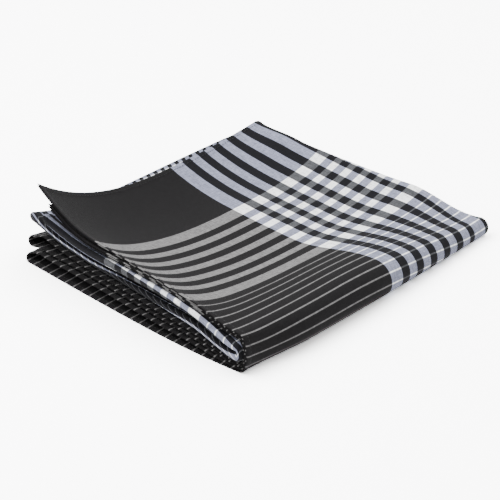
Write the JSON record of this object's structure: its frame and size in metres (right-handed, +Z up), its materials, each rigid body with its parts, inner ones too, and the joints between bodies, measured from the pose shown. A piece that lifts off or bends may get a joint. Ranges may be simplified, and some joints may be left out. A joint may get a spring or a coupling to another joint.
{
  "type": "folded square scarf",
  "caption": "Square cotton scarf folded into a soft flat packet, dark with light woven stripe bands that cross in checks; its open front side fans apart and one corner curls up.",
  "frame": {"origin": "middle of the packet's box at its underside, on the surface that it rests on", "axes": "+Z up; X along the open front side, from the fanned end to the last fold; +Y from the open front side to the back folds"},
  "size_m": [0.2388, 0.2732, 0.0672],
  "materials": {
    "cotton": "matt plain weave, charcoal ground with light stripes woven in"
  },
  "bodies": {
    "root": {"folded_scarf": "cotton"}
  },
  "joints": []
}
